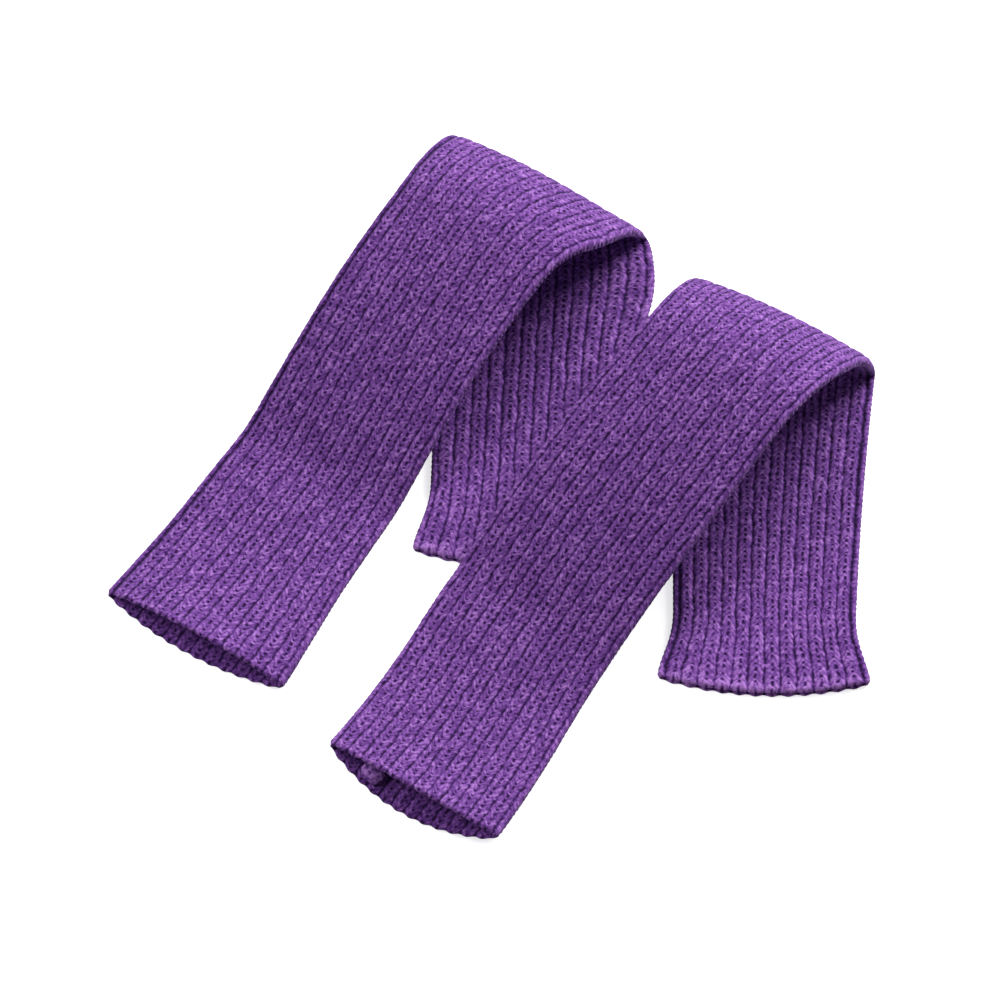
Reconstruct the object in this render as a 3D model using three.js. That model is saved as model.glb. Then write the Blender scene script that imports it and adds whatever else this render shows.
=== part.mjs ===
// A pair of rib-knit leg warmers, each a flattened knitted tube laid down at its front hem, raised into
// a loop and turned under, so that its other end lies on the table and points back to the front hem.
// Millimetres, +Z up. +X runs to the right of the pair and +Y away from the front hems.
import * as THREE from 'three';
import { mergeVertices } from 'three/addons/utils/BufferGeometryUtils.js';

// One leg warmer
const LENGTH = 505;
const RIBS_AROUND = 26;
const WALL = 1.3;
const RIB_RISE = 0.9;
const HALF_THICKNESS = 2.0;
const SCALLOP = 0.8;

// Each rib has a groove and two shoulders, at these parts of its width and of its rise
const RIB_PROFILE = [
  { across: 0, rise: 0 },
  { across: 0.28, rise: 1 },
  { across: 0.72, rise: 1 },
];

// The tube opens towards its front hem over this length, and flares to its back hem over the other
const MOUTH_DEPTH = 60;
const FLARE_DEPTH = 45;

// Sections where the wall is drawn, as distances from the front hem
const SECTIONS = [
  0, 5, 16, 34, 62, 80, 100, 108, 125, 155, 195, 230,
  242, 254, 266, 278, 290, 302, 313, 320, 327, 334, 341,
  352, 380, 415, 450, 478, 493, 505,
];

// The run of a table value is eased over this distance to each side
const EASE = 8;
const EASE_STEPS = 4;

// Each row is a place along the tube, by its distance from the front hem: the slope of the tube there,
// its heading seen from above, its tilt to one side, all in degrees, the width of the flattened tube, and
// how far its edges curl under. Slope -90 is straight down and -180 is level, with the tube turned over.
const LEFT = {
  name: 'leg_warmer_left',
  hem: { x: -136, y: -75 },
  lifts: 100,
  lands: 345,
  mouth: { rise: 3, bow: 7, lead: 5 },
  bulge: 8,
  rows: [
    { along: 0, slope: 0, heading: 59, tilt: 0, width: 92, curl: 0 },
    { along: 50, slope: 0, heading: 59, tilt: 0, width: 84, curl: 0 },
    { along: 100, slope: 0, heading: 57, tilt: 0, width: 81, curl: 0 },
    { along: 110, slope: 30, heading: 56, tilt: 0, width: 81, curl: 0 },
    { along: 175, slope: 25, heading: 55, tilt: 2, width: 81, curl: 0 },
    { along: 235, slope: 15, heading: 53, tilt: 5, width: 84, curl: 4 },
    { along: 275, slope: -35, heading: 45, tilt: 4, width: 94, curl: 6 },
    { along: 315, slope: -90, heading: 62, tilt: 3, width: 93, curl: 2 },
    { along: 335, slope: -180, heading: 87, tilt: 0, width: 94, curl: 0 },
    { along: 480, slope: -180, heading: 87, tilt: 0, width: 87, curl: 0 },
    { along: 505, slope: -180, heading: 88, tilt: 0, width: 102, curl: 0 },
  ],
};

const RIGHT = {
  name: 'leg_warmer_right',
  hem: { x: -38, y: -152 },
  lifts: 65,
  lands: 355,
  mouth: { rise: 7, bow: 2, lead: 8 },
  bulge: 7,
  rows: [
    { along: 0, slope: 0, heading: 58, tilt: 0, width: 86, curl: 0 },
    { along: 65, slope: 0, heading: 61, tilt: 0, width: 82, curl: 0 },
    { along: 75, slope: 10, heading: 59, tilt: 0, width: 82, curl: 0 },
    { along: 100, slope: 10, heading: 55, tilt: 0, width: 82, curl: 0 },
    { along: 110, slope: 28, heading: 52, tilt: 0, width: 82, curl: 0 },
    { along: 175, slope: 24, heading: 49, tilt: 0, width: 83, curl: 2 },
    { along: 240, slope: 14, heading: 50, tilt: 3, width: 81, curl: 3 },
    { along: 280, slope: -35, heading: 52, tilt: 3, width: 84, curl: 4 },
    { along: 325, slope: -90, heading: 66, tilt: 0, width: 87, curl: 2 },
    { along: 345, slope: -180, heading: 84, tilt: 0, width: 88, curl: 0 },
    { along: 480, slope: -180, heading: 88, tilt: 0, width: 80, curl: 0 },
    { along: 505, slope: -180, heading: 88, tilt: 0, width: 95, curl: 0 },
  ],
};

// The end of the side seam's allowance, a small bunch of yarn inside the right one's mouth. It is over
// the inner face of the lower layer, at a place given by the ribs round from the middle of the upper one.
const SEAM_END = { along: 5, ribs: 16.1, length: 11, width: 11, height: 4.4, lift: 0.4 };

const radians = (degrees) => (degrees * Math.PI) / 180;
const limit = (value, low, high) => Math.min(Math.max(value, low), high);

// The table value at a distance, on a straight line between its two rows
function tableValue(rows, column, distance) {
  if (distance <= rows[0].along) return rows[0][column];
  for (let i = 1; i < rows.length; i += 1) {
    if (distance <= rows[i].along) {
      const part = (distance - rows[i - 1].along) / (rows[i].along - rows[i - 1].along);
      return rows[i - 1][column] + part * (rows[i][column] - rows[i - 1][column]);
    }
  }
  return rows[rows.length - 1][column];
}

// The mean of the table value over EASE to each side, which rounds its corners
function easedValue(rows, column, distance) {
  let sum = 0;
  for (let i = -EASE_STEPS; i <= EASE_STEPS; i += 1) {
    sum += tableValue(rows, column, distance + (EASE * i) / EASE_STEPS);
  }
  return sum / (2 * EASE_STEPS + 1);
}

// The heading along the tube, the way across it and the way out of its face at one distance
function directions(rows, distance) {
  const slope = radians(easedValue(rows, 'slope', distance));
  const heading = radians(easedValue(rows, 'heading', distance));
  const tilt = radians(easedValue(rows, 'tilt', distance));
  const along = new THREE.Vector3(
    Math.cos(slope) * Math.cos(heading),
    Math.cos(slope) * Math.sin(heading),
    Math.sin(slope),
  );
  const level = new THREE.Vector3(Math.sin(heading), -Math.cos(heading), 0);
  const face = new THREE.Vector3().crossVectors(level, along);
  const across = level.clone().multiplyScalar(Math.cos(tilt)).addScaledVector(face, Math.sin(tilt));
  const out = face.multiplyScalar(Math.cos(tilt)).addScaledVector(level, -Math.sin(tilt));
  return { along, across, out };
}

// The middle line of a leg warmer at each whole millimetre, summed from its slope and heading.
// What is left over in height where it lands is taken out evenly between where it lifts and lands.
function middleLine(garment) {
  const line = [new THREE.Vector3(garment.hem.x, garment.hem.y, HALF_THICKNESS)];
  for (let i = 0; i < LENGTH; i += 1) {
    const step = directions(garment.rows, i + 0.5).along;
    line.push(line[i].clone().add(step));
  }
  const left = line[LENGTH].z - HALF_THICKNESS;
  line.forEach((point, i) => {
    point.z -= left * limit((i - garment.lifts) / (garment.lands - garment.lifts), 0, 1);
  });
  return line;
}

// A point of the flattened tube's section: two straight runs joined by half circles of radius round.
// turn is how far round it is, from the middle of the upper run, with a whole turn being 1. side is 1 on
// the upper run, -1 on the lower one and between them on the half circles.
function sectionPoint(width, round, turn) {
  const run = width / 2 - round;
  const around = 4 * run + 2 * Math.PI * round;
  const place = (turn - Math.round(turn)) * around;
  const far = Math.abs(place);
  const angle = limit((far - run) / round, 0, Math.PI);
  const reach = Math.min(far, run) + round * Math.sin(angle) - Math.max(far - run - Math.PI * round, 0);
  return { x: Math.sign(place) * reach, side: Math.cos(angle), edge: Math.sign(place) * Math.sin(angle) };
}

// One point of the wall, depth under the outer face, or over it where depth is negative.
// Near the front hem the edges and the upper layer rise, and the lower layer leads. Near the back hem the
// middle leads. Nothing reaches below the table.
function wallPoint(garment, line, distance, turn, depth, beyond) {
  const width = easedValue(garment.rows, 'width', distance);
  const { along, across, out } = directions(garment.rows, distance);
  const place = sectionPoint(width, HALF_THICKNESS, turn);
  const middle = 1 - limit((2 * place.x) / width, -1, 1) ** 2;
  const opening = limit(1 - distance / MOUTH_DEPTH, 0, 1) ** 2;
  const flaring = limit(1 - (LENGTH - distance) / FLARE_DEPTH, 0, 1) ** 2;
  const upper = Math.max(place.side, 0);
  const lower = Math.max(-place.side, 0);
  const { rise, bow, lead } = garment.mouth;
  const curl = easedValue(garment.rows, 'curl', distance) * (1 - middle);
  const spread = (bow * upper - rise * lower) * middle * opening - curl;
  const slide = garment.bulge * flaring * middle - lead * lower * middle * opening + beyond;
  const point = line[Math.round(distance)].clone();
  point.addScaledVector(across, place.x - place.edge * depth);
  point.addScaledVector(out, place.side * (HALF_THICKNESS - depth) + spread);
  point.addScaledVector(along, slide);
  point.z += rise * opening;
  point.z = Math.max(point.z, depth > 0 ? depth : 0);
  return point;
}

// The tube of one leg warmer: ribs on its outer face, a plain inner face and a closed wall at each hem
function tubeGeometry(garment) {
  const line = middleLine(garment);
  const perRib = RIB_PROFILE.length;
  const outerCount = RIBS_AROUND * perRib;
  const ringCount = outerCount + RIBS_AROUND;
  const positions = [];
  SECTIONS.forEach((distance, ring) => {
    const end = ring === 0 ? -1 : ring === SECTIONS.length - 1 ? 1 : 0;
    for (let rib = 0; rib < RIBS_AROUND; rib += 1) {
      for (const { across, rise } of RIB_PROFILE) {
        const turn = (rib + across) / RIBS_AROUND;
        const point = wallPoint(garment, line, distance, turn, -RIB_RISE * rise, end * SCALLOP * rise);
        positions.push(point.x, point.y, point.z);
      }
    }
    for (let rib = 0; rib < RIBS_AROUND; rib += 1) {
      const point = wallPoint(garment, line, distance, rib / RIBS_AROUND, WALL, 0);
      positions.push(point.x, point.y, point.z);
    }
  });

  const outer = (ring, i) => ring * ringCount + (i % outerCount);
  const inner = (ring, i) => ring * ringCount + outerCount + (i % RIBS_AROUND);
  const faces = [];
  for (let ring = 0; ring < SECTIONS.length - 1; ring += 1) {
    for (let i = 0; i < outerCount; i += 1) {
      faces.push(outer(ring, i), outer(ring, i + 1), outer(ring + 1, i));
      faces.push(outer(ring, i + 1), outer(ring + 1, i + 1), outer(ring + 1, i));
    }
    for (let i = 0; i < RIBS_AROUND; i += 1) {
      faces.push(inner(ring, i), inner(ring + 1, i), inner(ring, i + 1));
      faces.push(inner(ring, i + 1), inner(ring + 1, i), inner(ring + 1, i + 1));
    }
  }
  const last = SECTIONS.length - 1;
  for (let rib = 0; rib < RIBS_AROUND; rib += 1) {
    const first = rib * perRib;
    faces.push(inner(0, rib), inner(0, rib + 1), outer(0, first + perRib));
    faces.push(inner(last, rib), outer(last, first + perRib), inner(last, rib + 1));
    for (let i = 0; i < perRib; i += 1) {
      faces.push(inner(0, rib), outer(0, first + i + 1), outer(0, first + i));
      faces.push(inner(last, rib), outer(last, first + i), outer(last, first + i + 1));
    }
  }
  const geometry = new THREE.BufferGeometry();
  geometry.setAttribute('position', new THREE.Float32BufferAttribute(positions, 3));
  geometry.setIndex(faces);
  return geometry;
}

// The seam end: a ball drawn out to its three sizes and dented, seated on the wall under it
function seamEndGeometry(garment) {
  const { along, ribs, length, width, height, lift } = SEAM_END;
  const ball = new THREE.IcosahedronGeometry(1, 2);
  ball.deleteAttribute('normal');
  ball.deleteAttribute('uv');
  const geometry = mergeVertices(ball);
  const line = middleLine(garment);
  const seat = (rib, distance) => wallPoint(garment, line, distance, rib / RIBS_AROUND, WALL, 0);
  const across = seat(ribs - 1, along).sub(seat(ribs + 1, along)).normalize();
  const outward = seat(ribs, along + 5).sub(seat(ribs, along - 5)).normalize();
  const up = new THREE.Vector3().crossVectors(across, outward).normalize();
  const centre = seat(ribs, along).addScaledVector(up, height / 2 + lift);
  const points = geometry.getAttribute('position');
  for (let i = 0; i < points.count; i += 1) {
    const x = points.getX(i);
    const y = points.getY(i);
    const z = points.getZ(i);
    const dent = 1 - 0.08 * Math.sin(5 * x + 1) * Math.sin(6 * y);
    const point = centre.clone();
    point.addScaledVector(across, (dent * x * width) / 2);
    point.addScaledVector(outward, (dent * y * length) / 2);
    point.addScaledVector(up, (z * height) / 2);
    points.setXYZ(i, point.x, point.y, point.z);
  }
  return geometry;
}

const YARN = new THREE.Color(0x7a3fb0);

function knitMesh(name, geometry) {
  const material = new THREE.MeshStandardMaterial({ color: YARN, roughness: 0.9, metalness: 0 });
  const mesh = new THREE.Mesh(geometry, material);
  mesh.name = name;
  return mesh;
}

const pair = new THREE.Group();
pair.add(knitMesh(LEFT.name, tubeGeometry(LEFT)));
pair.add(knitMesh(RIGHT.name, tubeGeometry(RIGHT)));
pair.add(knitMesh('seam_end', seamEndGeometry(RIGHT)));

// The pair's own zero is under the middle of its box
const box = new THREE.Box3().setFromObject(pair);
const centre = box.getCenter(new THREE.Vector3());
pair.children.forEach((mesh) => mesh.geometry.translate(-centre.x, -centre.y, 0));

export default pair;
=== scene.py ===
# A pair of purple rib-knit leg warmers, laid on a pale surface: each a flattened knitted tube that lies
# flat at its front hem, rises into a loop and turns under onto its back half.
import math

import bpy
import numpy as np
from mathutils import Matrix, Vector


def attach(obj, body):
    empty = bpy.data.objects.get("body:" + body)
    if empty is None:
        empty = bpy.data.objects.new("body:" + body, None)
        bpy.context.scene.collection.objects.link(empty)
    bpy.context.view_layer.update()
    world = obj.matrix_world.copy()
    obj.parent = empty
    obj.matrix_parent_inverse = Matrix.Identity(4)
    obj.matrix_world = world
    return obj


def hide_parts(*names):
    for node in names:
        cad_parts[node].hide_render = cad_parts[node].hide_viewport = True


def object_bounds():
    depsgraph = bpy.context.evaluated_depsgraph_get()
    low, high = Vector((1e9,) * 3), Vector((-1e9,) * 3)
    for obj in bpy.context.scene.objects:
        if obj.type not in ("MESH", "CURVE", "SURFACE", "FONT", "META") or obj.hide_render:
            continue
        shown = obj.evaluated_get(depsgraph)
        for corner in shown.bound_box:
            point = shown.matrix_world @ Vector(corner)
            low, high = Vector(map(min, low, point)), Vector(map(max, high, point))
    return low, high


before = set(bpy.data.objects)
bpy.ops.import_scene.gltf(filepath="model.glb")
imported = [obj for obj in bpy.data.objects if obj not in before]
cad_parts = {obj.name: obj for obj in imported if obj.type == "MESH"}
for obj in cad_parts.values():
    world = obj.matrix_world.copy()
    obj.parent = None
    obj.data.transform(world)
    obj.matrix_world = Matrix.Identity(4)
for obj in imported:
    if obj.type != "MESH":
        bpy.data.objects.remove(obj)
cad_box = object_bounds()

# The camera
# It looks down at the pair at 60 degrees from far off, as the photograph does.
AIM = (0.002, 0.0, 0.0)
CAMERA_DISTANCE = 2.335
CAMERA_ELEVATION = math.radians(60)
LENS = 185.2

lens_data = bpy.data.cameras.new("camera")
lens_data.lens = LENS
lens_data.sensor_width = 36
lens_data.clip_end = 20
camera = bpy.data.objects.new("camera", lens_data)
camera.location = (
    AIM[0],
    AIM[1] - CAMERA_DISTANCE * math.cos(CAMERA_ELEVATION),
    AIM[2] + CAMERA_DISTANCE * math.sin(CAMERA_ELEVATION),
)
camera.rotation_euler = (math.pi / 2 - CAMERA_ELEVATION, 0, 0)
bpy.context.collection.objects.link(camera)
bpy.context.scene.camera = camera

# The two leg warmers
# Each is one rib-knit tube, closed by a side seam, of chunky acrylic yarn. It has 26 ribs round and is
# 505 mm long, with a knitted edge at each end. All sizes below are in millimetres.
LENGTH = 505
RIBS_AROUND = 26
COURSES = 183
WALL = 1.3
INNER_WAVE = 0.25
RIB_RISE = 0.9
HALF_THICKNESS = 2.0
SCALLOP = 0.8
HEM_ROUNDING = 2.2
HEM_DROP = 0.5
MOUTH_DEPTH = 60
FLARE_DEPTH = 45
SWELL_MIDDLE = 360
SWELL_HALF_LENGTH = 44
EASE = 8
EASE_STEPS = 4

# Each row: distance from the front hem, slope, heading, tilt in degrees, flat width, how far edges curl
LEFT = {
    "name": "left",
    "node": "leg_warmer_left",
    "hem": (-136, -75),
    "lifts": 100,
    "lands": 345,
    "rise": 3,
    "bow": 7,
    "lead": 5,
    "bulge": 8,
    "swell": 6,
    "seed": 3,
    "rows": [
        (0, 0, 59, 0, 92, 0),
        (50, 0, 59, 0, 84, 0),
        (100, 0, 57, 0, 81, 0),
        (110, 30, 56, 0, 81, 0),
        (175, 25, 55, 2, 81, 0),
        (235, 15, 53, 5, 84, 4),
        (275, -35, 45, 4, 94, 6),
        (315, -90, 62, 3, 93, 2),
        (335, -180, 87, 0, 94, 0),
        (480, -180, 87, 0, 87, 0),
        (505, -180, 88, 0, 102, 0),
    ],
}
RIGHT = {
    "name": "right",
    "node": "leg_warmer_right",
    "hem": (-38, -152),
    "lifts": 65,
    "lands": 355,
    "rise": 7,
    "bow": 2,
    "lead": 8,
    "bulge": 7,
    "swell": 0,
    "seed": 8,
    "rows": [
        (0, 0, 58, 0, 86, 0),
        (65, 0, 61, 0, 82, 0),
        (75, 10, 59, 0, 82, 0),
        (100, 10, 55, 0, 82, 0),
        (110, 28, 52, 0, 82, 0),
        (175, 24, 49, 0, 83, 2),
        (240, 14, 50, 3, 81, 3),
        (280, -35, 52, 3, 84, 4),
        (325, -90, 66, 0, 87, 2),
        (345, -180, 84, 0, 88, 0),
        (480, -180, 88, 0, 80, 0),
        (505, -180, 88, 0, 95, 0),
    ],
}
COLUMNS = {"slope": 1, "heading": 2, "tilt": 3, "width": 4, "curl": 5}


def eased(garment, column, distance):
    """The table's value at each distance: the mean of nine straight-line readings over EASE to each side."""
    rows = np.array(garment["rows"], float)
    steps = np.arange(-EASE_STEPS, EASE_STEPS + 1) * EASE / EASE_STEPS
    readings = [np.interp(distance + step, rows[:, 0], rows[:, COLUMNS[column]]) for step in steps]
    return np.mean(readings, axis=0)


def directions(garment, distance):
    """Along = (cos slope cos heading, cos slope sin heading, sin slope). Across is level and at right
    angles to it, turned towards the face by the tilt. Out is at right angles to both."""
    slope = np.radians(eased(garment, "slope", distance))
    heading = np.radians(eased(garment, "heading", distance))
    tilt = np.radians(eased(garment, "tilt", distance))[..., None]
    along = np.stack(
        [np.cos(slope) * np.cos(heading), np.cos(slope) * np.sin(heading), np.sin(slope)], -1
    )
    level = np.stack([np.sin(heading), -np.cos(heading), 0 * heading], -1)
    face = np.cross(level, along)
    across = level * np.cos(tilt) + face * np.sin(tilt)
    out = face * np.cos(tilt) - level * np.sin(tilt)
    return along, across, out


def middle_line(garment):
    """The sum of the along direction at each millimetre from the front hem. What is left over in height
    is taken out evenly between where the tube lifts and where it lands."""
    along, _, _ = directions(garment, np.arange(LENGTH) + 0.5)
    line = np.zeros((LENGTH + 1, 3))
    line[0] = (*garment["hem"], HALF_THICKNESS)
    line[1:] = line[0] + np.cumsum(along, axis=0)
    left_over = line[-1, 2] - HALF_THICKNESS
    stretch = (np.arange(LENGTH + 1) - garment["lifts"]) / (garment["lands"] - garment["lifts"])
    line[:, 2] -= left_over * np.clip(stretch, 0, 1)
    return line


def wall(garment, distance, turn, depth, beyond):
    """A flattened tube: two straight runs joined by half circles, swept along the middle line. turn is
    the share of the way round from the middle of the upper face, depth how far under the outer face the
    point is, and beyond how far past its hem. The middle of the cloth is one less the square of the share
    of the way to an edge, and the edges curl by what is left of one. The mouth opens in its middle with
    the square of the nearness of the front hem, and there the lower face leads. The back hem bows out in
    its middle. The right edge swells past the fold, by a squared cosine along and the square of the share
    of the way there. Nothing reaches below the table."""
    line = middle_line(garment)
    width = eased(garment, "width", distance)
    along, across, out = directions(garment, distance)
    run = width / 2 - HALF_THICKNESS
    around = 4 * run + 2 * np.pi * HALF_THICKNESS
    place = (turn - np.round(turn)) * around
    far = np.abs(place)
    angle = np.clip((far - run) / HALF_THICKNESS, 0, np.pi)
    reach = np.minimum(far, run) + HALF_THICKNESS * np.sin(angle)
    reach = reach - np.maximum(far - run - np.pi * HALF_THICKNESS, 0)
    x = np.sign(place) * reach
    side = np.cos(angle)
    edge = np.sign(place) * np.sin(angle)
    middle = 1 - np.clip(2 * x / width, -1, 1) ** 2
    past_fold = np.cos(np.clip((distance - SWELL_MIDDLE) / SWELL_HALF_LENGTH, -1, 1) * np.pi / 2) ** 2
    x = x + garment["swell"] * past_fold * np.clip(2 * x / width, 0, 1) ** 2
    opening = np.clip(1 - distance / MOUTH_DEPTH, 0, 1) ** 2
    flaring = np.clip(1 - (LENGTH - distance) / FLARE_DEPTH, 0, 1) ** 2
    upper = np.maximum(side, 0)
    lower = np.maximum(-side, 0)
    spread = (garment["bow"] * upper - garment["rise"] * lower) * middle * opening
    spread = spread - eased(garment, "curl", distance) * (1 - middle)
    slide = garment["bulge"] * flaring * middle - garment["lead"] * lower * middle * opening + beyond
    whole = np.arange(LENGTH + 1)
    point = np.stack([np.interp(distance, whole, line[:, k]) for k in range(3)], -1)
    point = point + across * (x - edge * depth)[..., None]
    point = point + out * (side * (HALF_THICKNESS - depth) + spread)[..., None]
    point = point + along * slide[..., None]
    point[..., 2] += garment["rise"] * opening
    point[..., 2] = np.maximum(point[..., 2], np.maximum(depth, 0))
    return point


# The part's zero is under the middle of the pair's box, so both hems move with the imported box
PLAIN_ROWS = 102
PLAIN_COLUMNS = 104
plain = np.meshgrid(
    np.linspace(0, LENGTH, PLAIN_ROWS), np.arange(PLAIN_COLUMNS) / PLAIN_COLUMNS, indexing="ij"
)
crests = np.full(plain[0].shape, -RIB_RISE)
both = np.concatenate([wall(garment, *plain, crests, 0.0).reshape(-1, 3) for garment in (LEFT, RIGHT)])
packed_middle = 1000 * np.mean([list(corner) for corner in cad_box], axis=0)
shift = packed_middle - (both.min(0) + both.max(0)) / 2
for garment in (LEFT, RIGHT):
    garment["hem"] = (garment["hem"][0] + shift[0], garment["hem"][1] + shift[1])

# The knit is a grid with this many points across each rib and along each course, cut into three lengths
PER_RIB = 10
PER_COURSE = 4
PIECES = ("front", "loop", "back")
GRID_ROWS = COURSES * PER_COURSE + 1
GRID_COLUMNS = RIBS_AROUND * PER_RIB
HALF_COLUMNS = GRID_COLUMNS // 2


def drift(seed, row_cells, column_cells):
    """Slow random numbers from -1 to 1 on a grid that closes on itself round the tube: a coarse grid of
    them, read between its points with a smooth step in each direction."""
    rng = np.random.default_rng(seed)
    coarse = rng.uniform(-1, 1, (row_cells + 2, column_cells))
    row = np.linspace(0, row_cells, GRID_ROWS)[:, None]
    column = np.linspace(0, column_cells, GRID_COLUMNS, endpoint=False)[None, :]
    above = np.floor(row).astype(int)
    left = np.floor(column).astype(int)
    right = (left + 1) % column_cells
    down = row - above
    over = column - left
    down = down * down * (3 - 2 * down)
    over = over * over * (3 - 2 * over)
    near = coarse[above, left] * (1 - over) + coarse[above, right] * over
    far = coarse[above + 1, left] * (1 - over) + coarse[above + 1, right] * over
    return near * (1 - down) + far * down


# How far hand tension moves a stitch, in ribs and in courses, or changes the pull of a groove, each with
# the cells of its slow drift along and round the tube
RIB_WANDER = 0.06
RIB_CELLS = (92, 52)
COURSE_WANDER = 0.2
COURSE_CELLS = (61, 52)
PULL_WANDER = 0.5
PULL_CELLS = (14, 26)

# How many courses a leg of yarn climbs from a rib's middle to its groove, and over what share of the way
# it rises and falls
SLANT = 1.5
LEG_STARTS = 0.25
LEG_ENDS = 0.2

# Heights and depths of the parts of a stitch. A width is the bell's, as a share of half a rib, and the
# seam's is in ribs.
BASE_RISE = 0.15
CROWN_RISE = 0.7
LEG_RISE = 0.22
LEG_MEAN = 0.75
LOOP_RISE = 0.1
HOLE_DEPTH = 0.6
HOLE_WIDTH = 0.2
GROOVE_DEPTH = 0.35
GROOVE_WIDTH = 0.17
BAR_RISE = 0.15
BAR_WIDTH = 0.22
SEAM_DEPTH = 0.5
SEAM_WIDTH = 0.16

# Loops a little past each end of the table of chances, so that a wandering stitch still finds one
SPARE_COURSES = 3
SPARE_SIDES = 2

# The grooves that a seam deepens, by rib round the tube. The left one's and the first of the right one's
# show as dark lines beside an edge, and the seam end lies near the right one's other.
SEAM_LINES = {"left": (20,), "right": (7, 19)}

# Soft creases: middle and half length along the tube, rib round it, half width in ribs and depth, less
# than none for a ridge. The left one's first shows in the photograph. The others are guesses like it,
# most of them on hidden sides.
CREASES = {
    "left": [
        (400, 55, 15, 0.5, 1.0),
        (300, 30, 9.5, 0.9, -0.8),
        (200, 45, 14, 0.8, 0.9),
        (440, 40, 2, 0.7, 0.8),
    ],
    "right": [
        (410, 40, 10, 0.7, 0.5),
        (190, 50, 12, 0.8, 0.9),
        (300, 30, 17, 0.9, -0.8),
        (430, 45, 24, 0.7, 0.8),
    ],
}


def knit_place(garment):
    """Where each grid point lies in the knit, in ribs across and courses along, with the small wanderings
    that hand tension leaves: a slow random drift of both."""
    rows = np.linspace(0, COURSES, GRID_ROWS)[:, None]
    ribs = (np.arange(GRID_COLUMNS) / PER_RIB)[None, :]
    ribs = ribs + RIB_WANDER * drift(garment["seed"], *RIB_CELLS)
    rows = rows + COURSE_WANDER * drift(garment["seed"] + 1, *COURSE_CELLS)
    return ribs, rows


def bell(value, width):
    """The exponent of less the square of the value over the width."""
    return np.exp(-((value / width) ** 2))


def seam_lines(garment, ribs):
    """A bell round each groove that a seam deepens, and none elsewhere."""
    return sum(bell(ribs - line, SEAM_WIDTH) for line in SEAM_LINES[garment["name"]])


def knit_relief(garment, ribs, rows):
    """How far the yarn stands out of the base cloth, in millimetres. off is the distance from a rib's
    middle, 1 at the groove. The rib's crown is one less the cube of off. On it two legs of yarn slant away
    from the middle in each course, round as the root of one less a square, and each loop is a little
    higher or lower. Between the legs is a hole in each course, a bell across and a squared beat along,
    and in the groove a low bar. A crease is a bell across and a squared cosine along."""
    part = ribs - np.floor(ribs)
    off = np.abs(part - 0.5) * 2
    slanted = rows - SLANT * off
    strand = slanted - np.floor(slanted)
    leg = np.sqrt(np.clip(1 - (2 * strand - 1) ** 2, 0, 1))
    window = np.clip(off / LEG_STARTS, 0, 1) * np.clip((1 - off) / LEG_ENDS, 0, 1)
    table = (COURSES + 2 * SPARE_COURSES, 2 * (RIBS_AROUND + SPARE_SIDES))
    chances = np.random.default_rng(garment["seed"] + 5).uniform(-1, 1, table)
    course = np.clip(np.floor(slanted).astype(int) + SPARE_COURSES, 0, table[0] - 1)
    side = np.clip(2 * np.floor(ribs).astype(int) + (part > 0.5) + SPARE_SIDES, 0, table[1] - 1)
    beat = 0.5 * np.cos(2 * np.pi * rows)
    hole = bell(off, HOLE_WIDTH) * (0.5 + beat) ** 2
    groove = bell(1 - off, GROOVE_WIDTH)
    bar = bell(1 - off, BAR_WIDTH) * (0.5 - beat)
    pull = 1 + PULL_WANDER * drift(garment["seed"] + 2, *PULL_CELLS)
    height = BASE_RISE + CROWN_RISE * (1 - off**3) + LEG_RISE * (leg - LEG_MEAN) * window
    height = height + LOOP_RISE * chances[course, side] * window * leg
    for middle, half_length, rib, half_width, depth in CREASES[garment["name"]]:
        reach = np.clip((rows * LENGTH / COURSES - middle) / half_length, -1, 1)
        height = height - depth * np.cos(reach * np.pi / 2) ** 2 * bell(ribs - rib, half_width)
    height = height - HOLE_DEPTH * hole - GROOVE_DEPTH * pull * groove
    return height + BAR_RISE * bar - SEAM_DEPTH * seam_lines(garment, ribs)


def mesh_object(name, points, faces, ribs, rows, dark, material):
    """A smooth mesh with a UV map in ribs across and courses along, and the painted shade at each point.
    Where a face closes the tube, its far corners are counted on past the last rib."""
    mesh = bpy.data.meshes.new(name)
    mesh.from_pydata(points / 1000, [], faces)
    mesh.attributes.new("dark", "FLOAT", "POINT").data.foreach_set("value", dark)
    corners = np.empty(len(mesh.loops), np.int32)
    mesh.loops.foreach_get("vertex_index", corners)
    across = ribs[corners]
    starts = np.empty(len(mesh.polygons), np.int32)
    counts = np.empty(len(mesh.polygons), np.int32)
    mesh.polygons.foreach_get("loop_start", starts)
    mesh.polygons.foreach_get("loop_total", counts)
    highest = np.repeat(np.maximum.reduceat(across, starts), counts)
    across = np.where(highest - across > RIBS_AROUND / 2, across + RIBS_AROUND, across)
    uv = np.stack([across, rows[corners]], -1)
    mesh.uv_layers.new(name="knit").data.foreach_set("uv", uv.ravel().astype(np.float32))
    mesh.polygons.foreach_set("use_smooth", np.ones(len(mesh.polygons), bool))
    mesh.materials.append(material)
    mesh.update()
    piece = bpy.data.objects.new(name, mesh)
    bpy.context.collection.objects.link(piece)
    return piece


def matte_yarn(name):
    """A rough material with almost no shine, and its nodes, links and shader."""
    material = bpy.data.materials.new(name)
    material.use_nodes = True
    nodes = material.node_tree.nodes
    shader = nodes["Principled BSDF"]
    shader.inputs["Roughness"].default_value = 0.9
    shader.inputs["Specular IOR Level"].default_value = 0.15
    return material, nodes, material.node_tree.links, shader


def noise(nodes, links, place, scale, detail):
    """A noise texture read at the given place."""
    node = nodes.new("ShaderNodeTexNoise")
    node.inputs["Scale"].default_value = scale
    node.inputs["Detail"].default_value = detail
    links.new(place, node.inputs["Vector"])
    return node


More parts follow.
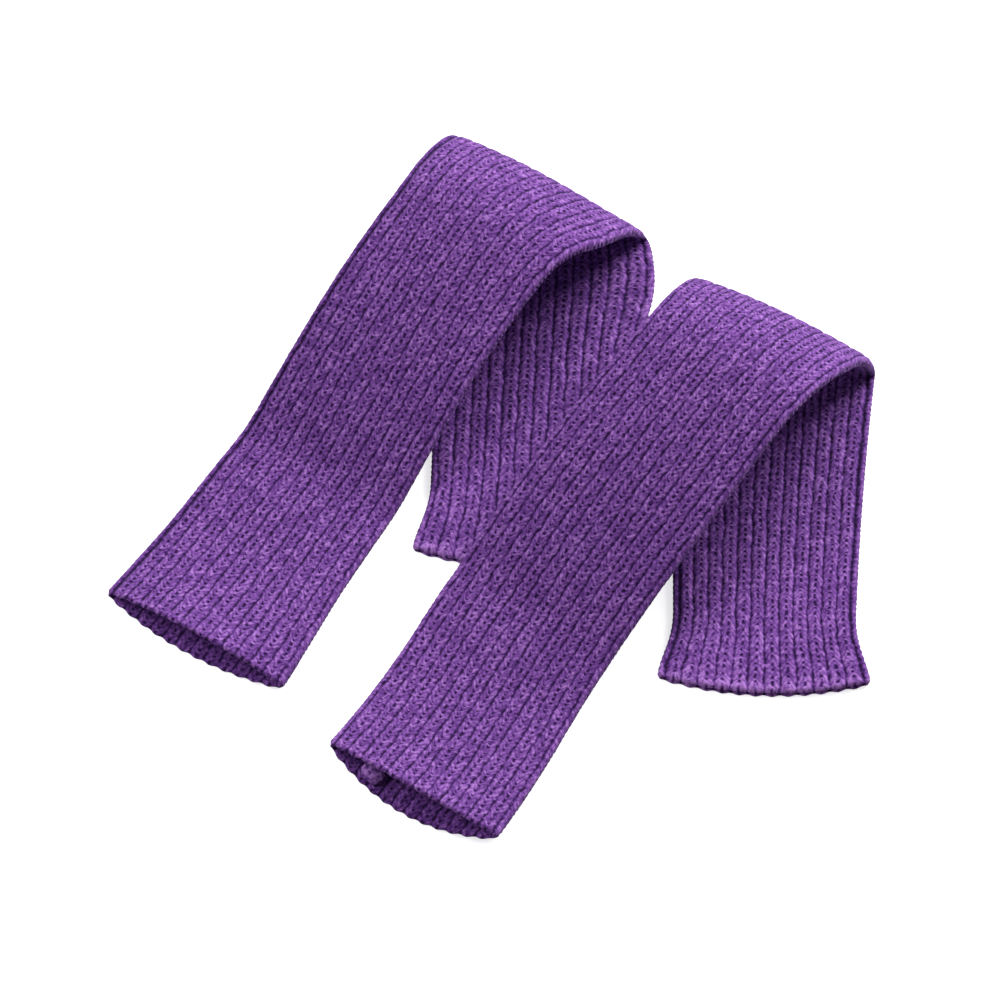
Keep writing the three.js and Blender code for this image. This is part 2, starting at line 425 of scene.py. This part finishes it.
def paint(nodes, links, shader, level, stops):
    """Colours the shader by level, through a ramp with a place and a colour for each stop."""
    node = nodes.new("ShaderNodeValToRGB")
    elements = node.color_ramp.elements
    for element, (place, colour) in zip(elements, (stops[0], stops[-1])):
        element.position = place
        element.color = (*colour, 1)
    for place, colour in stops[1:-1]:
        elements.new(place).color = (*colour, 1)
    links.new(level, node.inputs["Fac"])
    links.new(node.outputs["Color"], shader.inputs["Base Color"])


def emboss(nodes, links, shader, height, strength, distance):
    """A bump by height, with its distance in metres."""
    node = nodes.new("ShaderNodeBump")
    node.inputs["Strength"].default_value = strength
    node.inputs["Distance"].default_value = distance
    links.new(height, node.inputs["Height"])
    links.new(node.outputs["Normal"], shader.inputs["Normal"])


# The yarn's purples, from the painted shade of a hole to the painted highlight of a leg's top
PURPLES = (
    (0.0, (0.022, 0.004, 0.055)),
    (0.35, (0.09, 0.022, 0.19)),
    (0.7, (0.225, 0.08, 0.385)),
    (1.0, (0.48, 0.22, 0.68)),
)

# How far along the purples the yarn lies, and what each part of a stitch adds to that or takes from it.
# The legs' tops and the bars get a painted highlight, the holes and grooves painted shade, and the seams
# and the inside painted shade too, the inside partly as the knit's darker reverse side.
YARN_LEVEL = 0.4
LEG_HIGHLIGHT = 0.36
LOOP_SPREAD = 0.1
HOLE_SHADE = 0.75
GROOVE_SHADE = 0.75
BAR_HIGHLIGHT = 0.32
RIM_LIGHT = 0.3
BLOTCH_SPREAD = 0.6
SEAM_SHADE = 0.4
INSIDE_TONE_AND_SHADE = 0.16

# The painted stitches wander by this much in ribs and in courses. Their grooves and bars are a little
# narrower than the raised ones and their holes a little longer, and a noise makes the grooves uneven.
RIB_SWAY = 0.12
COURSE_SWAY = 0.8
PAINTED_GROOVE_WIDTH = 0.16
PAINTED_BAR_WIDTH = 0.2
PAINTED_HOLE_POWER = 1.5
GROOVE_GAIN = 2.6
GROOVE_LEAST = -0.3
RIM_COURSES = 1.3
FIBRE_RISE = 0.35


def yarn_material():
    """Purple yarn, by its place in the knit: a painted highlight at the tops of its legs and on the bars,
    lighter in a wavy band at the back hem, painted shade, dark and saturated, in the holes and grooves,
    painted shade along the seams' grooves, darker on the inside partly as the knit's reverse side and
    partly as painted shade, and each loop a little different. The places of legs, holes, bars and grooves
    are worked out from the UV map much as knit_relief does it, and drive the colour and a fine bump.
    Blotches of Object coordinates lighten and darken it, and loose fibres are a finer bump."""
    material, nodes, links, shader = matte_yarn("purple_rib_knit")
    shader.inputs["Sheen Weight"].default_value = 0.25
    shader.inputs["Sheen Roughness"].default_value = 0.5
    shader.inputs["Sheen Tint"].default_value = (0.7, 0.5, 0.9, 1)

    def worked(operation, *values):
        """A math node on sockets or numbers."""
        node = nodes.new("ShaderNodeMath")
        node.operation = operation
        for socket, value in zip(node.inputs, values):
            if isinstance(value, bpy.types.NodeSocket):
                links.new(value, socket)
            else:
                socket.default_value = value
        return node.outputs[0]

    def bell_of(value, width):
        """The same bell as the function's, in nodes."""
        share = worked("DIVIDE", value, width)
        return worked("EXPONENT", worked("MULTIPLY", worked("MULTIPLY", share, share), -1.0))

    def spread(value, size):
        """A number from 0 to 1, turned into one from less the size to the size."""
        return worked("MULTIPLY_ADD", value, 2 * size, -size)

    knit = nodes.new("ShaderNodeUVMap")
    knit.uv_map = "knit"
    split = nodes.new("ShaderNodeSeparateXYZ")
    links.new(knit.outputs["UV"], split.inputs[0])
    wander = noise(nodes, links, knit.outputs["UV"], scale=1.1, detail=1)
    sway = nodes.new("ShaderNodeSeparateColor")
    links.new(wander.outputs["Color"], sway.inputs[0])
    rib = worked("ADD", split.outputs["X"], spread(sway.outputs[0], RIB_SWAY))
    course = worked("ADD", split.outputs["Y"], spread(sway.outputs[1], COURSE_SWAY))

    part = worked("FRACT", rib)
    off = worked("MULTIPLY", worked("ABSOLUTE", worked("SUBTRACT", part, 0.5)), 2.0)
    slanted = worked("SUBTRACT", course, worked("MULTIPLY", off, SLANT))
    strand = worked("SUBTRACT", worked("MULTIPLY", worked("FRACT", slanted), 2.0), 1.0)
    square_left = worked("SUBTRACT", 1.0, worked("MULTIPLY", strand, strand))
    leg = worked("SQRT", worked("MAXIMUM", square_left, 0.0))
    wave = worked("COSINE", worked("MULTIPLY", course, 2 * math.pi))
    beat = worked("MULTIPLY_ADD", wave, 0.5, 0.5)
    gap = worked("SUBTRACT", 1.0, off)
    hole = worked("MULTIPLY", bell_of(off, HOLE_WIDTH), worked("POWER", beat, PAINTED_HOLE_POWER))
    uneven = worked("MULTIPLY_ADD", sway.outputs[2], GROOVE_GAIN, GROOVE_LEAST)
    groove = worked("MULTIPLY", bell_of(gap, PAINTED_GROOVE_WIDTH), uneven)
    bar = worked("MULTIPLY", bell_of(gap, PAINTED_BAR_WIDTH), worked("SUBTRACT", 1.0, beat))
    rim = bell_of(worked("SUBTRACT", COURSES, course), RIM_COURSES)
    dark = nodes.new("ShaderNodeAttribute")
    dark.attribute_name = "dark"

    cell = nodes.new("ShaderNodeCombineXYZ")
    side = worked("ADD", worked("MULTIPLY", worked("FLOOR", rib), 2.0), worked("GREATER_THAN", part, 0.5))
    links.new(side, cell.inputs[0])
    links.new(worked("FLOOR", slanted), cell.inputs[1])
    chance = nodes.new("ShaderNodeTexWhiteNoise")
    chance.noise_dimensions = "2D"
    links.new(cell.outputs[0], chance.inputs["Vector"])
    place = nodes.new("ShaderNodeTexCoord").outputs["Object"]
    blotch = noise(nodes, links, place, scale=560, detail=3)
    fibre = noise(nodes, links, place, scale=2600, detail=2)

    # Painted highlight on the legs' tops and the bars, painted shade in the holes and grooves
    level = worked("MULTIPLY_ADD", leg, LEG_HIGHLIGHT, YARN_LEVEL)
    level = worked("ADD", level, spread(chance.outputs["Value"], LOOP_SPREAD))
    level = worked("SUBTRACT", level, worked("MULTIPLY", hole, HOLE_SHADE))
    level = worked("SUBTRACT", level, worked("MULTIPLY", groove, GROOVE_SHADE))
    level = worked("MULTIPLY_ADD", bar, BAR_HIGHLIGHT, level)
    level = worked("MULTIPLY_ADD", rim, RIM_LIGHT, level)
    # Painted shade along the seams and on the inside, the inside partly the knit's darker reverse side
    level = worked("SUBTRACT", level, dark.outputs["Fac"])
    level = worked("ADD", level, spread(blotch.outputs["Fac"], BLOTCH_SPREAD))
    paint(nodes, links, shader, level, PURPLES)
    relief = worked("MULTIPLY_ADD", fibre.outputs["Fac"], FIBRE_RISE, level)
    emboss(nodes, links, shader, relief, strength=0.6, distance=0.0006)
    return material


yarn = yarn_material()


def grid_faces(rows, columns, first):
    """The faces of a grid of points that closes on itself round the tube, from point number first."""
    row = np.arange(rows - 1)[:, None] * columns + first
    column = np.arange(columns)[None, :]
    near = row + column
    beside = row + (column + 1) % columns
    return np.stack([near, beside, beside + columns, near + columns], -1).reshape(-1, 4)


def tube_faces(outer_rows, inner_rows):
    """The outer face, the inner one turned the other way, and a rim at each end, where a face joins two
    points inside to three outside."""
    inner_first = outer_rows * GRID_COLUMNS
    outer = grid_faces(outer_rows, GRID_COLUMNS, 0)
    inner = grid_faces(inner_rows, HALF_COLUMNS, inner_first)[:, [0, 3, 2, 1]]
    column = np.arange(HALF_COLUMNS)
    within = np.stack([column, (column + 1) % HALF_COLUMNS])
    without = np.stack([2 * column, 2 * column + 1, (2 * column + 2) % GRID_COLUMNS])
    near_rim = np.stack([*(inner_first + within), *without[::-1]], -1)
    far_within = inner_first + (inner_rows - 1) * HALF_COLUMNS + within
    far_without = (outer_rows - 1) * GRID_COLUMNS + without
    far_rim = np.stack([far_within[0], *far_without, far_within[1]], -1)
    return outer.tolist() + inner.tolist() + near_rim.tolist() + far_rim.tolist()


def knit_points(garment, ribs, rows):
    """The outer points, with the knit's relief, rounded off at the hems by a quarter circle and scalloped
    by a squared sine, and the inner points, one for each course and each two columns, with low waves."""
    distance = np.linspace(0, COURSES, GRID_ROWS) / COURSES * LENGTH
    turn = np.arange(GRID_COLUMNS) / GRID_COLUMNS
    rounding = np.clip(np.minimum(distance, LENGTH - distance) / HEM_ROUNDING, 0, 1)[:, None]
    rim = 1 - np.sqrt(1 - (1 - rounding) ** 2)
    height = knit_relief(garment, ribs, rows) * (1 - rim) - HEM_DROP * rim
    crest = np.sin(np.pi * ((turn * RIBS_AROUND) % 1)) ** 2
    ends = np.zeros(GRID_ROWS)
    ends[0], ends[-1] = -1, 1
    beyond = SCALLOP * crest[None, :] * ends[:, None]
    outer = wall(garment, *np.meshgrid(distance, turn, indexing="ij"), -height, beyond)
    inner_distance, inner_turn = np.meshgrid(distance[::PER_COURSE], turn[::2], indexing="ij")
    depth = WALL - INNER_WAVE * np.cos(2 * np.pi * inner_turn * RIBS_AROUND)
    return outer, wall(garment, inner_distance, inner_turn, depth, 0.0)


def knit_pieces(garment):
    """The tube in three lengths, each a closed wall of the fine knit outside, a plainer face inside and a
    rim at each end."""
    knit_ribs, knit_rows = knit_place(garment)
    seams = seam_lines(garment, knit_ribs)
    outside, inside = knit_points(garment, knit_ribs, knit_rows)
    cuts = np.round(np.linspace(0, COURSES, len(PIECES) + 1)).astype(int)
    for name, first, last in zip(PIECES, cuts[:-1], cuts[1:]):
        outer = slice(first * PER_COURSE, last * PER_COURSE + 1)
        inner = slice(first, last + 1)
        points = np.concatenate([outside[outer].reshape(-1, 3), inside[inner].reshape(-1, 3)])
        ribs, rows = (
            np.concatenate([grid[outer].ravel(), grid[::PER_COURSE, ::2][inner].ravel()])
            for grid in (knit_ribs, knit_rows)
        )
        outer_seams = seams[outer].ravel()
        # Painted shade: on the inside, partly the knit's darker reverse side, and along the seams outside
        dark = np.full(len(points), INSIDE_TONE_AND_SHADE, np.float32)
        dark[: len(outer_seams)] = SEAM_SHADE * outer_seams
        faces = tube_faces(len(outside[outer]), len(inside[inner]))
        piece = mesh_object(f"{garment['name']}_knit_{name}", points, faces, ribs, rows, dark, yarn)
        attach(piece, "root")
        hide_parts(garment["node"])


knit_pieces(LEFT)
knit_pieces(RIGHT)

# The seam end
# A small bunch of the same yarn in the right one's mouth, where the side seam's allowance ends. It is sewing
# yarn drawn up in loose loops, with no ribs or courses, only light strands and painted shade in the gaps.
# Its purples, from the painted shade of a gap to a strand's light
BUNCH_PURPLES = ((0.4, (0.11, 0.03, 0.22)), (0.6, (0.5, 0.23, 0.72)))


def bunch_material():
    """The knit's purples by a noise on Object coordinates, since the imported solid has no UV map, and a
    bump from the same noise."""
    material, nodes, links, shader = matte_yarn("purple_yarn_bunch")
    place = nodes.new("ShaderNodeTexCoord").outputs["Object"]
    strands = noise(nodes, links, place, scale=450, detail=3).outputs["Fac"]
    paint(nodes, links, shader, strands, BUNCH_PURPLES)
    emboss(nodes, links, shader, strands, strength=0.8, distance=0.0015)
    return material


seam_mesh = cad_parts["seam_end"].data
seam_mesh.materials.clear()
seam_mesh.materials.append(bunch_material())

# The surface and the light
# A plain white surface with a soft low light from behind on the right, which brightens the tops of the
# loops and leaves their undersides dark, and a weaker one from the left.
floor_mesh = bpy.data.meshes.new("surface")
REACH = 6.0
corners = [(-REACH, -REACH, 0), (REACH, -REACH, 0), (REACH, REACH, 0), (-REACH, REACH, 0)]
floor_mesh.from_pydata(corners, [], [(0, 1, 2, 3)])
surface = bpy.data.objects.new("surface", floor_mesh)
bpy.context.collection.objects.link(surface)
paper = bpy.data.materials.new("surface")
paper.use_nodes = True
paper_nodes = paper.node_tree.nodes
paper_links = paper.node_tree.links
paper_shader = paper_nodes["Principled BSDF"]
paper_shader.inputs["Base Color"].default_value = (0.95, 0.95, 0.95, 1)
paper_shader.inputs["Roughness"].default_value = 0.9
paper_shader.inputs["Emission Color"].default_value = (1, 1, 1, 1)
paper_shader.inputs["Emission Strength"].default_value = 0.7

# Light that has bounced off the cloth meets a darker surface, so that it stays dark under the loops
path = paper_nodes.new("ShaderNodeLightPath")
dim = paper_nodes.new("ShaderNodeBsdfDiffuse")
dim.inputs["Color"].default_value = (0.25, 0.25, 0.25, 1)
mixed = paper_nodes.new("ShaderNodeMixShader")
paper_links.new(path.outputs["Is Diffuse Ray"], mixed.inputs[0])
paper_links.new(paper_shader.outputs[0], mixed.inputs[1])
paper_links.new(dim.outputs[0], mixed.inputs[2])
paper_links.new(mixed.outputs[0], paper_nodes["Material Output"].inputs[0])
floor_mesh.materials.append(paper)


def area_light(name, place, size, power):
    """A square light that faces the pair."""
    data = bpy.data.lights.new(name, "AREA")
    data.size = size
    data.energy = power
    lamp = bpy.data.objects.new(name, data)
    lamp.location = place
    lean = math.atan2(math.hypot(place[0], place[1]), place[2])
    lamp.rotation_euler = (lean, 0, math.atan2(place[0], -place[1]))
    bpy.context.collection.objects.link(lamp)


area_light("light_behind", place=(1.6, 1.6, 1.3), size=1.6, power=84)
area_light("light_left", place=(-1.8, 0.2, 1.8), size=1.6, power=34)
world = bpy.data.worlds.new("studio")
world.use_nodes = True
background = world.node_tree.nodes["Background"]
background.inputs["Color"].default_value = (1, 1, 1, 1)
background.inputs["Strength"].default_value = 0.15
bpy.context.scene.world = world
bpy.context.scene.view_settings.view_transform = "Standard"
